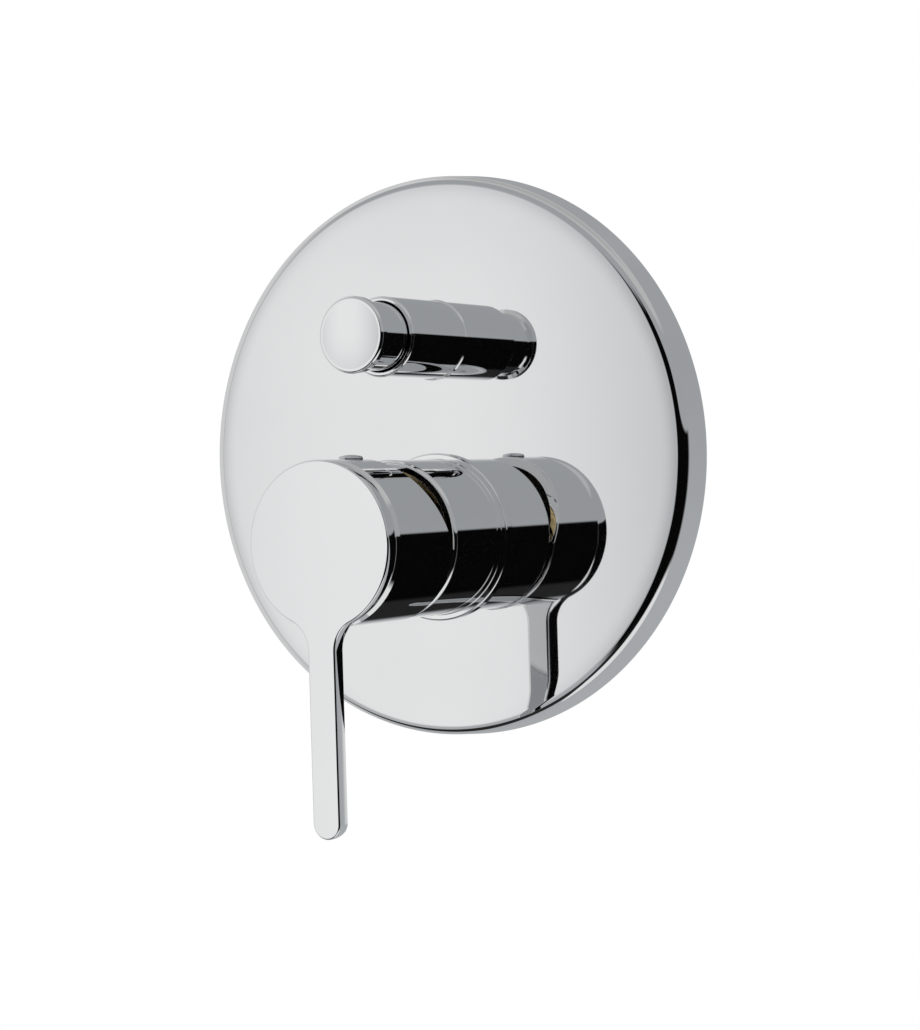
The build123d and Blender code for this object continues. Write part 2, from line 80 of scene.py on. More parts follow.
# Mixer sleeve
sleeve_radius = 23.4
sleeve_bore = 20.5
sleeve_stand = 86.4
sleeve_edge_round = 1.2
sleeve_bore_round = 0.3
flange_radius = 25.2
flange_top = 61.2
flange_round = 0.5
flange_root_round = 0.2

# Handle: a disc and lever in one plate, a cup behind it and a boss for the stem; leans in degrees
handle_radius = 23.8
handle_wall = 3.0
handle_stand = 121.4
lever_thickness = 5.2
lever_width = 9.2
lever_reach = 82.6
lever_blend = 9.0
lever_front_round = 0.45
lever_rear_round = 1.2
lever_front_lean = 5.0
lever_rear_lean = -15.0
cup_front = handle_stand - lever_thickness
cup_edge_bevel = 0.8
cup_roof = 4.0
cup_floor = cup_front - cup_roof
cup_lap = 0.6
cup_rear_bevel = 0.25
rear_gap = 1.6
relief_gap = 3.0
relief_slope = math.tan(math.radians(23.3))
boss_radius = 8.0
boss_rear = 96.2
socket_half = 4.05
socket_gap = 0.5
stem_top = 111.7

# Plug over the handle's screw
plug_radius = 3.5
plug_proud = 1.25
plug_depth = 2.0
plug_stand = 104.2
plug_crown_radius = 2.4
plug_crown = 0.25
plug_round = 0.75

# Diverter sleeve
diverter_radius = 11.75
diverter_bore = 10.4
diverter_stand = 87.8
diverter_round = 0.7
diverter_bore_round = 0.2
diverter_lip_radius = 11.85
diverter_lip_top = 59.8
diverter_lip_round = 0.15

# Pull knob
knob_radius = 11.1
knob_neck_radius = 10.0
knob_wall = 1.6
knob_stand = 102.6
knob_lip = 2.6
knob_lip_slope = 0.6
knob_lip_round = 0.2
knob_roof = 1.0
knob_round = 0.8
knob_dish = 0.3
knob_dish_radius = 9.8
knob_skirt_stand = 77.5
knob_hub_radius = 5.0
knob_hub_stand = 82.0
spindle_radius = 2.5
spindle_stand = 97.6

# Ports, with the depth of the bright machined faces on the casting
port_stand = 30.0
inlet_reach = 48.0
top_reach = 73.0
bottom_reach = 71.0
port_radius = 10.5
port_cut = 1.0
barrel_cut = 0.3
cut_ease = 0.4
thread_pitch = 1.814
thread_turns = 6.5
thread_ridge = 0.62
thread_start = 1.2

# Return spring
spring_section = 0.45
spring_radius = 4.2
spring_turns = 6.0
spring_collar_stand = 52.0
bonnet_roof = 70.0

# Fineness of the meshes
plate_sides = 320
sleeve_sides = 192
diverter_sides = 160
plug_sides = 96
mixer_hole_sides = 128
diverter_hole_sides = 96
cup_sides = 256
boss_sides = 64
corner_steps = 8
plate_corner_steps = 14
curve_steps = 12
disc_steps = 160
lever_root_steps = 16
lever_end_steps = 24
helix_steps = 72
wire_sides = 10
weld = 0.002
weld_digits = 3
shortest_run = 1e-6

to_room = Vector((0, -1, 0))
to_wall = Vector((0, 1, 0))


class Tone:
    """A value, colour or vector in a node tree; arithmetic on values adds Math nodes."""

    def __init__(self, tree, socket=None):
        self.tree = tree
        self.socket = socket

    def node(self, kind, settings=None, inputs=None, out=0):
        """A new node with its settings and inputs, as one of its outputs."""
        made = self.tree.nodes.new(kind)
        for key, value in (settings or {}).items():
            setattr(made, key, value)
        for key, value in (inputs or {}).items():
            socket = made.inputs[key]
            if isinstance(value, Tone):
                self.tree.links.new(value.socket, socket)
            else:
                socket.default_value = value
        return Tone(self.tree, made.outputs[out])

    def maths(self, operation, *values):
        return self.node("ShaderNodeMath", {"operation": operation}, dict(enumerate(values)))

    def __add__(self, other):
        return self.maths("ADD", self, other)

    def __radd__(self, other):
        return self.maths("ADD", other, self)

    def __sub__(self, other):
        return self.maths("SUBTRACT", self, other)

    def __rsub__(self, other):
        return self.maths("SUBTRACT", other, self)

    def __mul__(self, other):
        return self.maths("MULTIPLY", self, other)

    def __rmul__(self, other):
        return self.maths("MULTIPLY", other, self)

    def __neg__(self):
        return self.maths("MULTIPLY", self, -1.0)

    def __abs__(self):
        return self.maths("ABSOLUTE", self)

    def step(self, low, high):
        """0 below low, 1 above high, eased between."""
        settings = {"interpolation_type": "SMOOTHSTEP"}
        return self.node("ShaderNodeMapRange", settings, {"Value": self, "From Min": low, "From Max": high})

    def between(self, low, high, ease):
        """1 between two values, eased outside them."""
        return self.step(low - ease, low) * (1.0 - self.step(high, high + ease))

    def blend(self, first, second):
        """A colour between two colours, with this value as the share of the second."""
        settings = {"data_type": "RGBA", "clamp_factor": True}
        return self.node("ShaderNodeMix", settings, {0: self, 6: first, 7: second}, 2)

    def parts(self):
        """The three values of a vector."""
        split = self.node("ShaderNodeSeparateXYZ", None, {0: self})
        return [Tone(self.tree, socket) for socket in split.socket.node.outputs]

    def noise(self, scale, detail=2.0, roughness=0.5):
        inputs = {"Vector": self, "Scale": scale, "Detail": detail, "Roughness": roughness}
        return self.node("ShaderNodeTexNoise", None, inputs)

    def bump(self, strength, distance):
        inputs = {"Height": self, "Strength": strength, "Distance": distance}
        return self.node("ShaderNodeBump", None, inputs)


def finish_of(name, constants):
    """A new material with the Object coordinates for its pattern, and a way to feed its shader."""
    material = bpy.data.materials.new(name)
    material.use_nodes = True
    tree = material.node_tree
    shader = tree.nodes["Principled BSDF"]
    for key, value in constants.items():
        shader.inputs[key].default_value = value
    place = Tone(tree).node("ShaderNodeTexCoord", out=3)

    def feed(**links):
        for key, tone in links.items():
            tree.links.new(tone.socket, shader.inputs[key.replace("_", " ")])

    return material, place, feed


def grey(value, tint=(1.0, 1.0, 1.0)):
    """A grey of a brightness, or a tint at that brightness, as a colour with alpha."""
    return tuple(value * part for part in tint) + (1.0,)


def chrome(name, level, rough):
    """Plating of a base brightness and roughness, with a faint haze from wiping."""
    material, place, feed = finish_of(name, {"Metallic": 1.0})
    haze = place.noise(38.0, 3.0, 0.55)
    wipe = place.noise(420.0, 2.0, 0.6)
    hazy = grey(level - 0.015, (0.995, 1.0, 1.008))
    clean = grey(level + 0.015, (0.995, 1.0, 1.006))
    feed(Base_Color=haze.blend(hazy, clean))
    feed(Roughness=rough + 0.012 * haze + 0.008 * wipe)
    return material


def dull_casting():
    """The unpolished inside of a plated casting."""
    material, place, feed = finish_of("dull_casting", {"Specular IOR Level": 0.3})
    stain = place.noise(110.0, 4.0, 0.6)
    grain = place.noise(1300.0, 3.0, 0.6)
    feed(Base_Color=stain.blend(grey(0.07, (1.0, 0.97, 0.92)), grey(0.13, (1.05, 0.97, 0.84))))
    feed(Roughness=0.55 + 0.2 * grain, Metallic=0.35 + 0.2 * stain)
    feed(Normal=grain.bump(0.1, 0.0001))
    return material


def sand_cast_brass():
    """Rough casting skin, with bright machined faces at the ports and on the front of the barrels."""
    material, place, feed = finish_of("sand_cast_brass", {})
    across, into, up = place.parts()

    def cut(way, limit, depth):
        """1 on the last stretch of the casting before a limit."""
        return way.step((limit - depth) * MM, (limit - depth + cut_ease) * MM)

    side_faces = cut(abs(across), inlet_reach, port_cut)
    end_faces = cut(up, top_reach, port_cut) + cut(-up, bottom_reach, port_cut)
    machined = side_faces + end_faces + cut(-into, barrel_stand, barrel_cut)
    grain = place.noise(900.0, 3.0, 0.6)
    stain = place.noise(60.0, 4.0, 0.6)
    skin = stain.blend(grey(1.0, (0.46, 0.33, 0.15)), grey(1.0, (0.62, 0.46, 0.22)))
    bright = stain.blend(grey(1.0, (0.74, 0.57, 0.28)), grey(1.0, (0.80, 0.62, 0.32)))
    feed(Base_Color=machined.blend(skin, bright))
    feed(Roughness=0.55 - 0.33 * machined + 0.12 * grain, Metallic=0.9 + 0.1 * machined)
    feed(Normal=(grain * (1.0 - machined)).bump(0.5, 0.0004))
    return material


def turned_brass(name, level):
    """Lathe-cut brass; a level below 1 darkens it all over as painted shade."""
    material, place, feed = finish_of(name, {"Metallic": 1.0})
    into = place.parts()[1]
    lines = into.maths("SINE", into * 14000.0) * 0.5 + 0.5
    stain = place.noise(140.0, 3.0, 0.6)
    feed(Base_Color=stain.blend(grey(level, (0.70, 0.52, 0.25)), grey(level, (0.82, 0.64, 0.34))))
    feed(Roughness=0.20 + 0.10 * stain + 0.06 * lines)
    feed(Normal=lines.bump(0.25, 0.0001))
    return material


def satin_steel():
    """Drawn steel with fine streaks across the wire or pin."""
    material, place, feed = finish_of("satin_steel", {"Metallic": 1.0})
    brushed = place.node("ShaderNodeMapping", None, {"Vector": place, "Scale": (400.0, 6000.0, 400.0)})
    streak = brushed.noise(1.0, 2.0, 0.6)
    feed(Base_Color=streak.blend(grey(0.52, (1.0, 1.0, 1.01)), grey(0.66, (1.0, 1.0, 1.01))))
    feed(Roughness=0.24 + 0.14 * streak)
    feed(Normal=streak.bump(0.12, 0.0001))
    return material


def seal_rubber():
    """Black rubber with a faint bloom."""
    material, place, feed = finish_of("seal_rubber", {"Specular IOR Level": 0.35})
    bloom = place.noise(260.0, 4.0, 0.65)
    grain = place.noise(2600.0, 2.0, 0.5)
    feed(Base_Color=bloom.blend(grey(0.018), grey(0.045)))
    feed(Roughness=0.52 + 0.22 * bloom)
    feed(Normal=grain.bump(0.25, 0.0001))
    return material


def closed_cell_foam():
    """Dark foam with paler walls between its cells."""
    material, place, feed = finish_of("closed_cell_foam", {"Specular IOR Level": 0.25})
    inputs = {"Vector": place, "Scale": 1500.0}
    cell = place.node("ShaderNodeTexVoronoi", {"feature": "DISTANCE_TO_EDGE"}, inputs)
    wall = 1.0 - cell.step(0.02, 0.22)
    shade = place.noise(120.0, 3.0, 0.5)
    body = shade.blend(grey(0.10), grey(0.17))
    feed(Base_Color=wall.blend(body, grey(0.24)))
    feed(Roughness=0.78 + 0.15 * shade)
    feed(Normal=wall.bump(0.6, 0.0003))
    return material


def moulded_plastic():
    """The cartridge's dark plastic."""
    material, place, feed = finish_of("moulded_plastic", {"Specular IOR Level": 0.45})
    flow = place.noise(90.0, 4.0, 0.55)
    grain = place.noise(3200.0, 2.0, 0.5)
    feed(Base_Color=flow.blend(grey(0.085), grey(0.12)))
    feed(Roughness=0.42 + 0.14 * flow)
    feed(Normal=grain.bump(0.12, 0.0001))
    return material


def plug_plastic():
    """The plug's plated plastic, a little greyer than the chrome."""
    material, place, feed = finish_of("plug_plastic", {})
    flow = place.noise(700.0, 3.0, 0.5)
    feed(Base_Color=flow.blend(grey(0.62, (0.98, 1.0, 1.03)), grey(0.70, (0.98, 1.0, 1.03))))
    feed(Roughness=0.06 + 0.05 * flow, Metallic=0.85 + 0.1 * flow)
    return material


def lapped_ceramic():
    """The smooth cream ceramic of the discs."""
    material, place, feed = finish_of("lapped_ceramic", {"Specular IOR Level": 0.55})
    speck = place.noise(1400.0, 4.0, 0.7)
    cloud = place.noise(120.0, 2.0, 0.5)
    cream, shaded = grey(1.0, (0.90, 0.88, 0.84)), grey(1.0, (0.80, 0.77, 0.72))
    feed(Base_Color=(speck * cloud).blend(cream, shaded))
    feed(Roughness=0.08 + 0.10 * cloud)
    return material


finishes = {
    "chrome": chrome("polished_chrome", 0.905, 0.010),
    "plate": chrome("plate_chrome", 0.885, 0.010),
    "satin": chrome("satin_chrome", 0.64, 0.060),
    "casting": dull_casting(),
    "brass": sand_cast_brass(),
    "turned": turned_brass("turned_brass", 1.0),
    # Brass at about a fifth of its brightness: painted shade for the cartridge nut deep inside the sleeve
    "painted_shade": turned_brass("painted_shade_brass", 0.22),
    "steel": satin_steel(),
    "rubber": seal_rubber(),
    "foam": closed_cell_foam(),
    "cartridge_plastic": moulded_plastic(),
    "grey_plastic": plug_plastic(),
    "ceramic": lapped_ceramic(),
}
slot_of = {part["node"]: part["material_slot"] for part in frame["record"]["subparts"]}
for node, piece in frame["nodes"].items():
    finish = slot_of[node]
    if finish == "brass" and node != "valve_body":
        # The cartridge nut takes the darkened brass, painted shade where little light reaches inside the
        # sleeve
        finish = "painted_shade" if node == "cartridge_nut" else "turned"
    piece.data.materials.clear()
    piece.data.materials.append(finishes[finish])


class Shell:
    """Faces with the true surface direction at each corner, so that a mirror finish stays clean."""

    def __init__(self, *shell_finishes):
        self.finishes = shell_finishes
        self.finish = 0
        self.points = []
        self.index = {}
        self.faces = []
        self.turns = []
        self.face_finishes = []

    def corner(self, point):
        """The number of a corner point, shared by every face that meets there."""
        key = tuple(round(part, weld_digits) for part in point)
        if key not in self.index:
            self.index[key] = len(self.points)
            self.points.append(point)
        return self.index[key]

    def face(self, corners, turns):
        """One face from its corner points and the surface directions there."""
        facing = (corners[1] - corners[0]).cross(corners[2] - corners[0])
        if facing.dot(sum(turns, Vector((0, 0, 0)))) < 0:
            corners = corners[::-1]
            turns = turns[::-1]
        self.faces.append([self.corner(point) for point in corners])
        self.turns.extend(turns)
        self.face_finishes.append(self.finish)

    def strip(self, first, second, first_turns, second_turns):
        """Faces between two closed loops of the same length; corners that fall together become one."""
        count = len(first)
        for k in range(count):
            n = (k + 1) % count
            corners = [first[k], first[n], second[n], second[k]]
            turns = [first_turns[k], first_turns[n], second_turns[n], second_turns[k]]
            kept = [0]
            for c in (1, 2, 3):
                if all((corners[c] - corners[p]).length > weld for p in kept):
                    kept.append(c)
            if len(kept) > 2:
                self.face([corners[c] for c in kept], [turns[c] for c in kept])

    def fill(self, loops, turn):
        """A flat face inside the first loop with the other loops as holes."""
        sheet = bmesh.new()
        for loop in loops:
            row = [sheet.verts.new(point) for point in loop]
            for k in range(len(row)):
                sheet.edges.new((row[k - 1], row[k]))
        edges = sheet.edges[:]
        bmesh.ops.triangle_fill(sheet, use_beauty=True, use_dissolve=False, edges=edges, normal=turn)
        for face in sheet.faces:
            corners = [vert.co.copy() for vert in face.verts]
            self.face(corners, [turn] * len(corners))
        sheet.free()

    def piece(self, name):
        """The finished object, in metres, with its surface directions kept."""
        mesh = bpy.data.meshes.new(name)
        mesh.from_pydata([tuple(point * MM) for point in self.points], [], self.faces)
        mesh.update()
        mesh.polygons.foreach_set("use_smooth", [True] * len(mesh.polygons))
        mesh.polygons.foreach_set("material_index", self.face_finishes)
        for finish in self.finishes:
            mesh.materials.append(finish)
        mesh.normals_split_custom_set([tuple(turn) for turn in self.turns])
        made = bpy.data.objects.new(name, mesh)
        bpy.context.scene.collection.objects.link(made)
        return made


def linked(points):
    """Runs between neighbouring (point, direction) pairs, each with the direction at both its ends."""
    return [(p, q, p_turn, q_turn) for (p, p_turn), (q, q_turn) in zip(points, points[1:])]


def rounded(here, last, following, radius, hand, steps):
    """The (point, direction) pairs of the round at a corner, between the corners on both sides of it."""
    before = (last - here).normalized()
    after = (following - here).normalized()
    half = before.angle(after) / 2
    centre = here + (before + after).normalized() * (radius / math.sin(half))
    reach = radius / math.tan(half)
    begin = here + before * reach - centre
    end = here + after * reach - centre
    start = math.atan2(begin.y, begin.x)
    sweep = math.remainder(math.atan2(end.y, end.x) - start, 2 * math.pi)
    sign = 1.0 if sweep * hand > 0 else -1.0
    pairs = []
    for k in range(steps + 1):
        angle = start + sweep * k / steps
        spoke = Vector((math.cos(angle), math.sin(angle)))
        pairs.append((centre + spoke * radius, spoke * sign))
    return pairs


def eased(outline, steps=corner_steps):
    """Runs round a closed outline of (radius, stand) corners; a third value is the round of a corner."""
    corners = [Vector((corner[0], corner[1])) for corner in outline]
    count = len(corners)
    area = sum(corners[k - 1].x * corners[k].y - corners[k].x * corners[k - 1].y for k in range(count))
    hand = 1.0 if area > 0 else -1.0
    bends = []
    for k, corner in enumerate(outline):
        if len(corner) > 2:
            following = corners[(k + 1) % count]
            bends.append(rounded(corners[k], corners[k - 1], following, corner[2], hand, steps))
        else:
            bends.append([(corners[k], None)])
    runs = []
    for k in range(count):
        runs += linked(bends[k])
        p = bends[k][-1][0]
        q = bends[(k + 1) % count][0][0]
        if (q - p).length > shortest_run:
            along = (q - p).normalized()
            turn = Vector((along.y, -along.x)) * hand
            runs.append((p, q, turn, turn))
    return runs


def crowned(radius, rise, edge):
    """Runs of a shallow spherical face, from its centre to its edge; a negative rise is a dish."""
    sphere = (radius**2 + rise**2) / (2 * rise)
    sign = math.copysign(1.0, rise)
    points = []
    for k in range(curve_steps + 1):
        out = radius * k / curve_steps
        fall = sign * math.sqrt(sphere**2 - out**2)
        turn = Vector((out, fall)).normalized() * sign
        points.append((Vector((out, edge + rise - sphere + fall)), turn))
    return linked(points)


def facing_room(height):
    """The seat of a piece turned about the line towards the room at a height."""
    return Matrix.Translation((0, 0, height)) @ Matrix.Rotation(math.pi / 2, 4, "X")


def spun(shell, runs, seat, sides):
    """Turns an outline's runs about the line of a seat."""
    angles = [2 * math.pi * k / sides for k in range(sides)]
    swing = seat.to_3x3()

    def loop(point):
        return [seat @ Vector((point.x * math.cos(a), point.x * math.sin(a), point.y)) for a in angles]

    def turns(turn):
        return [swing @ Vector((turn.x * math.cos(a), turn.x * math.sin(a), turn.y)) for a in angles]

    for p, q, p_turn, q_turn in runs:
        shell.strip(loop(p), loop(q), turns(p_turn), turns(q_turn))


def circle(radius, stand, height, sides):
    """Points of a circle about the line towards the room at a height."""
    angles = [2 * math.pi * k / sides for k in range(sides)]
    return [Vector((radius * math.cos(a), -stand, height + radius * math.sin(a))) for a in angles]


def spokes(sides):
    """The outward directions of a circle's points."""
    return circle(1.0, 0.0, 0.0, sides)


def turned_piece(name, runs, seat, finish, sides):
    """A piece of one finish, turned from its outline's runs."""
    shell = Shell(finishes[finish])
    spun(shell, runs, seat, sides)
    return shell.piece(name)


def settle(piece, body, node):
    """Puts a piece on its body and hides the solid that it stands for."""
    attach(piece, body)
    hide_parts(node)


def plate_edge():
    """Runs from the flat face over a slight bend, a soft shoulder and the drafted rim to the inside."""
    bend_width = plate_bend_radius - plate_flat_radius
    bend_slope = 3 * plate_bend / bend_width
    bend_end = plate_stand - plate_bend
    shoulder = bend_end - bend_slope * (plate_shoulder_radius - plate_bend_radius)
    bends = []
    for k in range(curve_steps + 1):
        share = k / curve_steps
        point = Vector((plate_flat_radius + bend_width * share, plate_stand - plate_bend * share**3))
        bends.append((point, Vector((bend_slope * share**2, 1.0)).normalized()))
    outline = [
        (plate_bend_radius, bend_end),
        (plate_inner_radius, plate_back),
        (plate_inner_radius, wall_stand),
        (plate_radius, wall_stand, plate_rear_round),
        (plate_radius - plate_draft, shoulder - plate_shoulder_drop, plate_edge_round),
        (plate_shoulder_radius, shoulder, plate_shoulder_round),
    ]
    return linked(bends) + eased(outline, plate_corner_steps)[1:]


def cover_plate():
    """The drawn plate: a mirror face with two holes, its edge, and a collar for a seal behind each hole."""
    shell = Shell(finishes["plate"])
    spun(shell, plate_edge(), facing_room(0.0), plate_sides)
    holes = (
        (sleeve_radius + hole_gap, mixer_height, mixer_hole_sides),
        (diverter_radius + hole_gap, diverter_height, diverter_hole_sides),
    )
    front = [circle(plate_flat_radius, plate_stand, 0.0, plate_sides)]
    front += [circle(hole, plate_stand, height, sides) for hole, height, sides in holes]
    shell.fill(front, to_room)
    collar_back = plate_back - seal_section - plate_wall
    back = [circle(plate_inner_radius, plate_back, 0.0, plate_sides)]
    for hole, height, sides in holes:
        groove = hole + seal_section - hole_gap
        collar = hole + seal_section + collar_wall
        corners = [
            (hole, plate_stand),
            (hole, plate_back),
            (groove, plate_back),
            (groove, collar_back),
            (collar, collar_back),
            (collar, plate_back),
        ]
        spun(shell, eased(corners)[:-1], facing_room(height), sides)
        back.append(circle(collar, plate_back, height, sides))
    shell.fill(back, to_wall)
    settle(shell.piece("plate_shell"), "valve", "cover_plate")


def mixer_sleeve():
    """The tube round the cartridge, with the small flange that holds the plate."""
    outline = [
        (sleeve_bore, barrel_stand),
        (sleeve_bore, sleeve_stand, sleeve_bore_round),
        (sleeve_radius, sleeve_stand, sleeve_edge_round),
        (sleeve_radius, flange_top, flange_root_round),
        (flange_radius, flange_top, flange_round),
        (flange_radius, plate_stand),
        (sleeve_radius, plate_stand),
        (sleeve_radius, barrel_stand),
    ]
    seat = facing_room(mixer_height)
    tube = turned_piece("sleeve_tube", eased(outline), seat, "chrome", sleeve_sides)
    settle(tube, "valve", "mixer_sleeve")


def diverter_sleeve():
    """The tube round the diverter, with a fine lip on the plate."""
    outline = [
        (diverter_bore, barrel_stand),
        (diverter_bore, diverter_stand, diverter_bore_round),
        (diverter_radius, diverter_stand, diverter_round),
        (diverter_radius, diverter_lip_top),
        (diverter_lip_radius, diverter_lip_top, diverter_lip_round),
        (diverter_lip_radius + hole_gap, plate_stand),
        (diverter_radius, plate_stand),
        (diverter_radius, barrel_stand),
    ]
    seat = facing_room(diverter_height)
    tube = turned_piece("diverter_tube", eased(outline), seat, "chrome", diverter_sides)
    settle(tube, "valve", "diverter_sleeve")


def diverter_knob():
    """The pull knob: dished face, gripping lip, hollow neck and a hub on the spindle."""
    lip_rear = knob_stand - knob_lip
    neck_bore = knob_neck_radius - knob_wall
    outline = [
        (knob_dish_radius, knob_stand),
        (0.0, spindle_stand),
        (spindle_radius, spindle_stand),
        (spindle_radius, knob_hub_stand),
        (knob_hub_radius, knob_hub_stand),
        (knob_hub_radius, lip_rear - knob_roof),
        (neck_bore, lip_rear - knob_roof),
        (neck_bore, knob_skirt_stand),
        (knob_neck_radius, knob_skirt_stand),
        (knob_neck_radius, lip_rear - knob_lip_slope),
        (knob_radius, lip_rear, knob_lip_round),
        (knob_radius, knob_stand, knob_round),
    ]
    runs = crowned(knob_dish_radius, -knob_dish, knob_stand) + eased(outline)[1:]
    knob = turned_piece("knob_cap", runs, facing_room(diverter_height), "chrome", diverter_sides)
    settle(knob, "diverter", "diverter_knob")


def index_plug():
    """The small domed plug over the handle's screw."""
    top = mixer_height + handle_radius + plug_proud
    foot = mixer_height + handle_radius - plug_depth
    slope = 2 * plug_crown / plug_crown_radius
    shoulder = top - plug_crown - slope * (plug_radius - plug_crown_radius)
    outline = [
        (plug_crown_radius, top - plug_crown),
        (0.0, foot),
        (plug_radius, foot),
        (plug_radius, shoulder, plug_round),
    ]
    runs = crowned(plug_crown_radius, plug_crown, top - plug_crown) + eased(outline)[1:]
    seat = Matrix.Translation((0, -plug_stand, 0))
    plug = turned_piece("screw_plug", runs, seat, "grey_plastic", plug_sides)
    settle(plug, "handle", "index_plug")


def lever_outline():
    """The disc and its lever as one outline: points and outward directions, anticlockwise."""
    half = lever_width / 2
    centre_x = half + lever_blend
    reach = handle_radius + lever_blend
    centre_z = -math.sqrt(reach**2 - centre_x**2)
    start = math.atan2(centre_z, centre_x)
    end_z = -(lever_reach - half)

    def arc(radius, height, first, last, steps):
        angles = [first + (last - first) * k / steps for k in range(steps + 1)]
        turns = [(math.cos(a), math.sin(a)) for a in angles]
        return [(radius * x, height + radius * z, x, z) for x, z in turns]

    disc = arc(handle_radius, 0.0, start, math.pi - start, disc_steps)
    root = arc(lever_blend, centre_z, start + math.pi, math.pi, lever_root_steps)[1:]
    left = [(-centre_x - x, z, nx, -nz) for x, z, nx, nz in root]
    for k in range(1, curve_steps):
        left.append((-half, centre_z + (end_z - centre_z) * k / curve_steps, -1.0, 0.0))
    end = arc(half, end_z, math.pi, 2 * math.pi, lever_end_steps)
    right = [(-x, z, -nx, nz) for x, z, nx, nz in reversed(left)]
    return disc + left + end + right


def lever_edge():
    """The lever plate's edge, front to rear: a small round, a bowed side and a larger round.

    Each point is its inset from the outline, its stand, and its direction outward and towards the room.
    """
    front_lean = math.radians(lever_front_lean)
    rear_lean = math.radians(lever_rear_lean)
    left_over = lever_thickness - lever_front_round * (1 - math.sin(front_lean))
    left_over -= lever_rear_round * (1 + math.sin(rear_lean))
    side_bow = left_over / (math.sin(front_lean) - math.sin(rear_lean))
    inset = side_bow * (1 - math.cos(front_lean)) + lever_front_round * math.cos(front_lean)
    stand = handle_stand
    edge = []
    for bow, first, last in (
        (lever_front_round, math.pi / 2, front_lean),
        (side_bow, front_lean, rear_lean),
        (lever_rear_round, rear_lean, -math.pi / 2),
    ):
        for k in range(corner_steps + 1):
            a = first + (last - first) * k / corner_steps
            out = inset - bow * (math.cos(a) - math.cos(first))
            edge.append((out, stand - bow * (math.sin(first) - math.sin(a)), math.cos(a), math.sin(a)))
        inset, stand = edge[-1][:2]
    return edge


def lever_plate(shell, polished, satin):
    """The disc and lever in one plate, with a satin face behind."""
    outline = lever_outline()
    edge = lever_edge()

    def row(inset, stand):
        return [Vector((x - nx * inset, -stand, mixer_height + z - nz * inset)) for x, z, nx, nz in outline]

    def lean(out, forward):
        return [Vector((nx * out, -forward, nz * out)) for x, z, nx, nz in outline]

    for (i0, s0, o0, t0), (i1, s1, o1, t1) in zip(edge, edge[1:]):
        shell.strip(row(i1, s1), row(i0, s0), lean(o1, t1), lean(o0, t0))
    shell.fill([row(edge[0][0], handle_stand)], to_room)
    shell.finish = satin
    shell.fill([row(edge[-1][0], cup_front)], to_wall)
    shell.finish = polished


def handle_cup(shell, cast):
    """The cup behind the lever plate, cut obliquely at the rear so that it can tilt; gives its bore's end."""
    flat_stand = sleeve_stand + rear_gap
    inner_radius = handle_radius - handle_wall
    out = spokes(cup_sides)
    inward = [-turn for turn in out]
    bevel = [(turn + to_room).normalized() for turn in out]

    def oblique(height):
        return sleeve_stand + relief_gap + relief_slope * height

    def rear_loop(radius, lift):
        spread = [radius * turn for turn in out]
        stands = [max(flat_stand, oblique(point.z)) + lift for point in spread]
        return [Vector((p.x, -stand, mixer_height + p.z)) for p, stand in zip(spread, stands)]

    slanted = Vector((0, 1, relief_slope)).normalized()
    heights = [handle_radius * turn.z for turn in out]
    rear_turns = [to_wall if oblique(height) <= flat_stand else slanted for height in heights]
    front_rim = circle(handle_radius - cup_edge_bevel, cup_front, mixer_height, cup_sides)
    hidden_rim = circle(handle_radius - cup_edge_bevel, cup_front + cup_lap, mixer_height, cup_sides)
    shoulder = circle(handle_radius, cup_front - cup_edge_bevel, mixer_height, cup_sides)
    rear = rear_loop(handle_radius, cup_rear_bevel)
    rear_out = rear_loop(handle_radius - cup_rear_bevel, 0.0)
    rear_in = rear_loop(inner_radius + cup_rear_bevel, 0.0)
    rear_bore = rear_loop(inner_radius, cup_rear_bevel)
    bore_end = circle(inner_radius, cup_floor, mixer_height, cup_sides)
    shell.strip(front_rim, hidden_rim, out, out)
    shell.strip(shoulder, front_rim, bevel, bevel)
    shell.strip(rear, shoulder, out, out)
    shell.strip(rear_out, rear, rear_turns, out)
    shell.strip(rear_in, rear_out, rear_turns, rear_turns)
    shell.fill([hidden_rim], to_room)
    shell.finish = cast
    shell.strip(rear_bore, rear_in, inward, rear_turns)
    shell.strip(bore_end, rear_bore, inward, inward)
    return bore_end


def handle_boss(shell, bore_end):
    """The boss on the cup's floor, with a square socket for the stem."""
    base = circle(boss_radius, cup_floor, mixer_height, boss_sides)
    end = circle(boss_radius, boss_rear, mixer_height, boss_sides)
    shell.fill([bore_end, base], to_wall)
    shell.strip(end, base, spokes(boss_sides), spokes(boss_sides))
    signs = [(1, -1), (1, 1), (-1, 1), (-1, -1)]
    square = [(x * socket_half, mixer_height + z * socket_half) for x, z in signs]
    mouth = [Vector((x, -boss_rear, z)) for x, z in square]
    seat = [Vector((x, -stem_top - socket_gap, z)) for x, z in square]
    shell.fill([end, mouth], to_wall)
    middle = Vector((0, -boss_rear, mixer_height))
    for k in range(4):
        n = (k + 1) % 4
        turn = (middle - (mouth[k] + mouth[n]) / 2).normalized()
        shell.face([mouth[n], mouth[k], seat[k], seat[n]], [turn] * 4)
    shell.fill([seat], to_wall)


def mixer_handle():
    """The handle: disc and lever in one plate over a cup, a groove between them, and a boss inside."""
    polished, cast, satin = range(3)
    shell = Shell(finishes["chrome"], finishes["casting"], finishes["satin"])
    lever_plate(shell, polished, satin)
    bore_end = handle_cup(shell, cast)
    handle_boss(shell, bore_end)
    settle(shell.piece("lever_handle"), "handle", "mixer_handle")


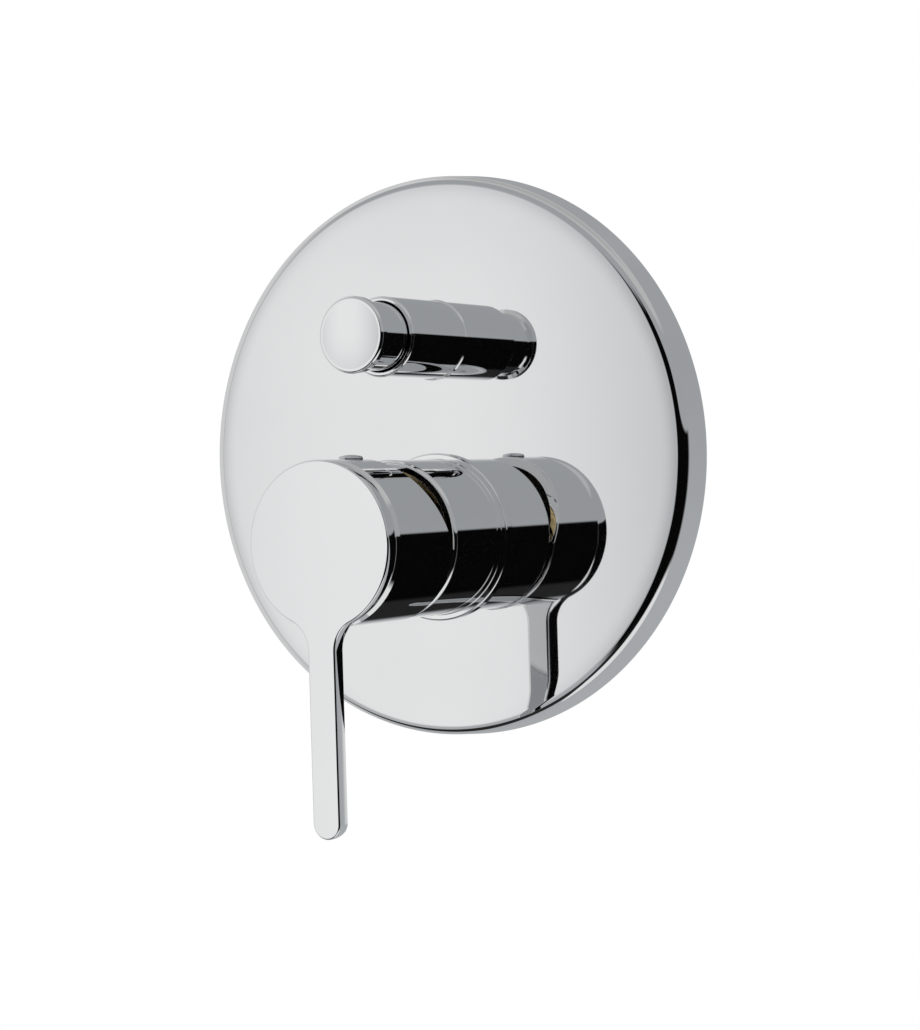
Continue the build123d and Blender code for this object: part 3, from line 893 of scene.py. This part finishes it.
def helix_tree():
    """Geometry nodes that wind one helix of round section and set a copy of it on each seat."""
    group = bpy.data.node_groups.new("helix", "GeometryNodeTree")
    group.interface.new_socket("Seats", in_out="INPUT", socket_type="NodeSocketGeometry")
    for name in ("Radius", "Pitch", "Turns", "Section"):
        group.interface.new_socket(name, in_out="INPUT", socket_type="NodeSocketFloat")
    group.interface.new_socket("Finish", in_out="INPUT", socket_type="NodeSocketMaterial")
    group.interface.new_socket("Winding", in_out="OUTPUT", socket_type="NodeSocketGeometry")
    kit = Tone(group)
    given = {socket.name: Tone(group, socket) for socket in group.nodes.new("NodeGroupInput").outputs}
    size = {"Rotations": given["Turns"], "Start Radius": given["Radius"], "End Radius": given["Radius"]}
    size.update({"Resolution": helix_steps, "Height": given["Turns"] * given["Pitch"]})
    helix = kit.node("GeometryNodeCurveSpiral", None, size)
    upright = kit.node("GeometryNodeSetCurveNormal", {"mode": "Z_UP"}, {"Curve": helix})
    ring = {"Resolution": wire_sides, "Radius": given["Section"]}
    section = kit.node("GeometryNodeCurvePrimitiveCircle", None, ring)
    sweep = {"Curve": upright, "Profile Curve": section, "Fill Caps": True}
    wire = kit.node("GeometryNodeCurveToMesh", None, sweep)
    named = {"data_type": "FLOAT_VECTOR"}
    heading = kit.node("GeometryNodeInputNamedAttribute", named, {"Name": "heading"})
    facing = kit.node("FunctionNodeAlignRotationToVector", {"axis": "Z"}, {"Vector": heading})
    spread = {"Points": given["Seats"], "Instance": wire, "Rotation": facing}
    copies = kit.node("GeometryNodeInstanceOnPoints", None, spread)
    real = kit.node("GeometryNodeRealizeInstances", None, {"Geometry": copies})
    done = kit.node("GeometryNodeSetMaterial", None, {"Geometry": real, "Material": given["Finish"]})
    group.links.new(done.socket, group.nodes.new("NodeGroupOutput").inputs["Winding"])
    return group


def wound(name, seats, sizes, finish):
    """One mesh of a helix on each (place, heading) seat, from sizes in millimetres."""
    marks = bpy.data.meshes.new(name + "_seats")
    marks.from_pydata([tuple(place * MM) for place, heading in seats], [], [])
    headings = marks.attributes.new("heading", "FLOAT_VECTOR", "POINT")
    for value, (place, heading) in zip(headings.data, seats):
        value.vector = heading
    host = bpy.data.objects.new(name + "_seats", marks)
    bpy.context.scene.collection.objects.link(host)
    winding = host.modifiers.new("helix", "NODES")
    winding.node_group = helix_tree()
    values = {key: value if key == "Turns" else value * MM for key, value in sizes.items()}
    values["Finish"] = finishes[finish]
    for item in winding.node_group.interface.items_tree:
        if item.in_out == "INPUT" and item.name in values:
            winding[item.identifier] = values[item.name]
    bpy.context.view_layer.update()
    solved = host.evaluated_get(bpy.context.evaluated_depsgraph_get())
    mesh = bpy.data.meshes.new_from_object(solved)
    mesh.polygons.foreach_set("use_smooth", [True] * len(mesh.polygons))
    bpy.data.objects.remove(host)
    made = bpy.data.objects.new(name, mesh)
    bpy.context.scene.collection.objects.link(made)
    return made


def port_threads():
    """Half-inch pipe threads in the four ports, as one mesh on the valve."""
    mouths = [
        (Vector((inlet_reach, -port_stand, mixer_height)), Vector((-1, 0, 0))),
        (Vector((-inlet_reach, -port_stand, mixer_height)), Vector((1, 0, 0))),
        (Vector((0, -port_stand, top_reach)), Vector((0, 0, -1))),
        (Vector((0, -port_stand, -bottom_reach)), Vector((0, 0, 1))),
    ]
    seats = [(mouth + inward * thread_start, inward) for mouth, inward in mouths]
    sizes = {"Radius": port_radius, "Pitch": thread_pitch, "Turns": thread_turns, "Section": thread_ridge}
    thread = wound("port_threads", seats, sizes, "turned")
    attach(thread, "valve")


def diverter_spring():
    """The return spring between the spindle's collar and the bonnet, at one fixed length."""
    foot = Vector((0, -spring_collar_stand - spring_section, diverter_height))
    length = bonnet_roof - spring_collar_stand - 2 * spring_section
    sizes = {"Radius": spring_radius, "Turns": spring_turns, "Section": spring_section}
    sizes["Pitch"] = length / spring_turns
    spring = wound("spring_wire", [(foot, to_room)], sizes, "steel")
    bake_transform(spring)
    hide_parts("diverter_spring")


cover_plate()
mixer_sleeve()
diverter_sleeve()
diverter_knob()
mixer_handle()
index_plug()
port_threads()
diverter_spring()


def pale_floor(radius, height, sides):
    """A plain pale disc well below the plate, in metres, kept out of the chrome."""
    finish, place, feed = finish_of("pale_floor", {"Roughness": 0.9, "Specular IOR Level": 0.1})
    feed(Base_Color=place.noise(3.0).blend(grey(0.88), grey(0.91)))
    angles = [2 * math.pi * k / sides for k in range(sides)]
    rim = [(radius * math.cos(a), radius * math.sin(a), height) for a in angles]
    mesh = bpy.data.meshes.new("floor")
    mesh.from_pydata(rim, [], [tuple(range(sides))])
    mesh.materials.append(finish)
    floor = bpy.data.objects.new("floor", mesh)
    bpy.context.scene.collection.objects.link(floor)
    floor.visible_glossy = False


def studio_cards(heading):
    """The room that the chrome shows, by direction in degrees: azimuth 0 is the room, right is positive."""
    right, back, up = heading.parts()
    azimuth = right.maths("ARCTAN2", right, -back) * (180.0 / math.pi)
    elevation = up.maths("ARCSINE", up) * (180.0 / math.pi)
    cool = (0.97, 1.0, 1.03)
    shown = elevation.step(-35.0, 20.0).blend(grey(0.43, cool), grey(0.37, cool))
    shown = elevation.step(34.0, 42.0).blend(shown, grey(0.50))
    shown = elevation.step(56.0, 68.0).blend(shown, grey(0.43))

    behind = abs(azimuth).step(150.0, 168.0) * elevation.between(-6.0, 12.0, 10.0)
    shown = behind.blend(shown, grey(0.70))
    window = azimuth.between(-128.0, -52.0, 10.0) * elevation.between(-30.0, 50.0, 14.0)
    shown = window.blend(shown, grey(0.66))

    # The bright card in the plate's face
    card = azimuth.step(-48.0, -35.0) * (1.0 - azimuth.step(-33.0, -21.0))
    card = card * (elevation.step(-22.0, -11.0) * (1.0 - elevation.step(3.0, 20.0)))
    shown = card.blend(shown, grey(0.85))

    # The black in the sides of the tubes, and a flag that carries it up the plate's edge
    dark = azimuth.step(-20.0, -17.0) * (1.0 - azimuth.step(96.0, 142.0))
    dark = dark * elevation.between(-46.0, 4.4, 2.0)
    flag = azimuth.between(-20.0, 2.0, 3.0) * elevation.between(0.0, 11.0, 3.0)
    shown = (dark + flag).blend(shown, grey(0.002))

    # A pale bench below at the right, and the dark under it at the left
    slant = elevation - 0.12 * (azimuth - 20.0)
    bench = azimuth.step(-4.0, 4.0) * (1.0 - azimuth.step(120.0, 150.0)) * (1.0 - slant.step(-52.0, -41.0))
    shown = bench.blend(shown, grey(0.80))
    under = azimuth.between(-60.0, -4.0, 6.0) * elevation.between(-62.0, -25.0, 6.0)
    return under.blend(shown, grey(0.02))


def studio_room():
    """White to the camera, plain soft light on matt pieces, and a studio of cards in the chrome."""
    room = bpy.data.worlds.new("studio")
    room.use_nodes = True
    bpy.context.scene.world = room
    tree = room.node_tree
    tree.nodes.clear()
    kit = Tone(tree)
    studio = studio_cards(kit.node("ShaderNodeTexCoord"))
    path = kit.node("ShaderNodeLightPath")
    rays = {socket.name: Tone(tree, socket) for socket in path.socket.node.outputs}
    seen = rays["Is Glossy Ray"].blend(grey(0.72), studio)
    clear = rays["Is Camera Ray"] + rays["Is Transmission Ray"]
    shown = clear.blend(seen, grey(1.0))
    glow = kit.node("ShaderNodeBackground", None, {"Color": shown, "Strength": 1.0})
    output = tree.nodes.new("ShaderNodeOutputWorld")
    tree.links.new(glow.socket, output.inputs["Surface"])


def soft_lamp(name, place, power):
    """A large soft lamp, aimed at the plate, that lights matt pieces and stays out of the chrome."""
    aim = Vector((0.0, -0.05, 0.0))
    lamp = bpy.data.lights.new(name, "AREA")
    lamp.shape = "DISK"
    lamp.size = 0.9
    lamp.energy = power
    made = bpy.data.objects.new(name, lamp)
    made.location = place
    made.rotation_euler = (aim - Vector(place)).to_track_quat("-Z", "Y").to_euler()
    made.visible_glossy = False
    made.visible_camera = False
    bpy.context.scene.collection.objects.link(made)


def photo_camera(place, yaw, pitch, roll, focal_pixels, frame_pixels):
    """The camera at the photo's viewing angle: place in metres, angles in radians."""
    ahead = Vector((-math.sin(yaw) * math.cos(pitch), math.cos(yaw) * math.cos(pitch), math.sin(pitch)))
    level = Vector((math.cos(yaw), math.sin(yaw), 0.0))
    above = level.cross(ahead)
    right_side = level * math.cos(roll) + above * math.sin(roll)
    top_side = above * math.cos(roll) - level * math.sin(roll)
    lens = bpy.data.cameras.new("camera")
    lens.sensor_fit = "VERTICAL"
    lens.sensor_height = 36.0
    lens.lens = focal_pixels / frame_pixels * lens.sensor_height
    lens.clip_start = 0.01
    camera = bpy.data.objects.new("camera", lens)
    turn = Matrix((right_side, top_side, -ahead)).transposed().to_4x4()
    camera.matrix_world = Matrix.Translation(place) @ turn
    bpy.context.scene.collection.objects.link(camera)
    bpy.context.scene.camera = camera


pale_floor(radius=0.45, height=-0.45, sides=96)
studio_room()
soft_lamp("key_lamp", place=(-0.9, -1.1, 1.1), power=9.0)
soft_lamp("fill_lamp", place=(1.2, 0.4, 0.5), power=4.0)
photo_camera(
    place=(0.37824, -0.64067, -0.00736),
    yaw=0.5674,
    pitch=-0.0152,
    roll=-0.0295,
    focal_pixels=2300.0,
    frame_pixels=1030.0,
)
bpy.context.scene.view_settings.view_transform = "Standard"

bpy.context.view_layer.update()
